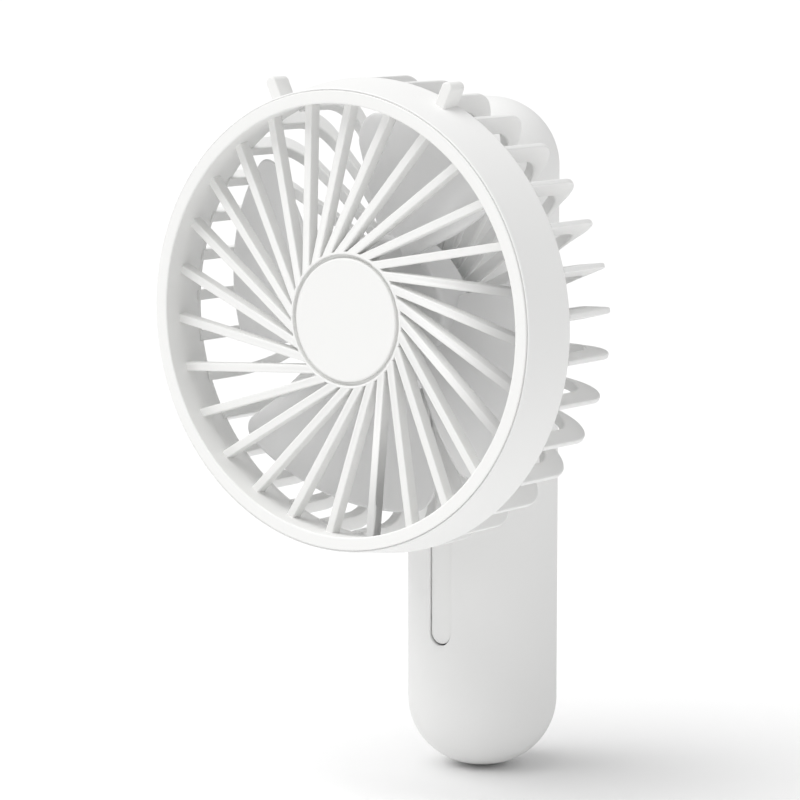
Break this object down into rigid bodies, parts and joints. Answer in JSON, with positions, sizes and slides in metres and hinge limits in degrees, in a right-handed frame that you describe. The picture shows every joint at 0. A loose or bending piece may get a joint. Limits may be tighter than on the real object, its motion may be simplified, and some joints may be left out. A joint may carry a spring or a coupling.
{
  "type": "handheld folding fan",
  "caption": "Handheld electric fan: a round ducted fan head with front and rear guards on an arm that folds into a slot in a capsule-shaped battery handle.",
  "frame": {"origin": "on the handle's long axis, 1 mm below the level of the fold hinge, where the hand grips the handle", "axes": "+Z along the handle's axis and up, the fan blows towards -Y, +X to the right as seen from the front"},
  "size_m": [0.0942, 0.067, 0.1442],
  "materials": {
    "shell_plastic": "fine matte, warm white",
    "grained_plastic": "fine blasted grain, white",
    "blade_plastic": "smooth satin, white",
    "button_plastic": "satin, white",
    "inner_plastic": "matte, black",
    "lens": "frosted clear",
    "screw_steel": "zinc plated",
    "shaft_steel": "ground bright",
    "socket_steel": "drawn bright",
    "tab_nickel": "nickel plated",
    "motor_iron": "dull laminated iron",
    "bearing_metal": "sintered bronze",
    "brass": "turned",
    "copper_wire": "enamelled copper",
    "magnet": "bonded ferrite",
    "cell_wrap": "shrink wrap, blue",
    "board_laminate": "solder mask, green",
    "lead_jacket": "soft jacket, red"
  },
  "bodies": {
    "handle": {"handle_shell": "shell_plastic", "back_cover": "shell_plastic", "cover_screws": "screw_steel", "arm_tray": "shell_plastic", "hinge_bridge": "inner_plastic", "bridge_screws": "screw_steel", "hinge_pin": "shaft_steel", "battery_cell": "cell_wrap", "battery_tabs": "tab_nickel", "battery_cradle": "inner_plastic", "main_board": "board_laminate", "board_screws": "screw_steel", "usb_socket": "socket_steel", "button_switch": "inner_plastic", "status_lens": "lens"},
    "button": {"power_button": "button_plastic", "switch_plunger": "shell_plastic"},
    "head": {"duct_ring": "shell_plastic", "front_guard": "grained_plastic", "front_cap": "grained_plastic", "stand_feet": "grained_plastic", "rear_guard": "shell_plastic", "fold_arm": "shell_plastic", "arm_bush": "brass", "arm_screws": "screw_steel", "motor_leads": "lead_jacket", "motor_board": "board_laminate", "bearing_tube": "brass", "shaft_bearings": "bearing_metal", "stator_core": "motor_iron", "stator_coils": "copper_wire"},
    "rotor": {"impeller": "blade_plastic", "rotor_cup": "motor_iron", "rotor_magnet": "magnet", "motor_shaft": "shaft_steel", "shaft_clip": "screw_steel"}
  },
  "joints": [
    {"name": "head_fold", "type": "hinge", "parent": "handle", "child": "head", "pos_m": [0, -0.0131, 0.001], "axis": [1, 0, 0], "range_deg": [0, 90]},
    {"name": "impeller_spin", "type": "hinge", "parent": "head", "child": "rotor", "pos_m": [0, -0.03, 0.0675], "axis": [0, -1, 0], "continuous": true},
    {"name": "button_press", "type": "slide", "parent": "handle", "child": "button", "axis": [0, -1, 0], "range_m": [0, 0.0006], "stiffness_N_per_m": 2500, "springref_m": -0.0002}
  ]
}
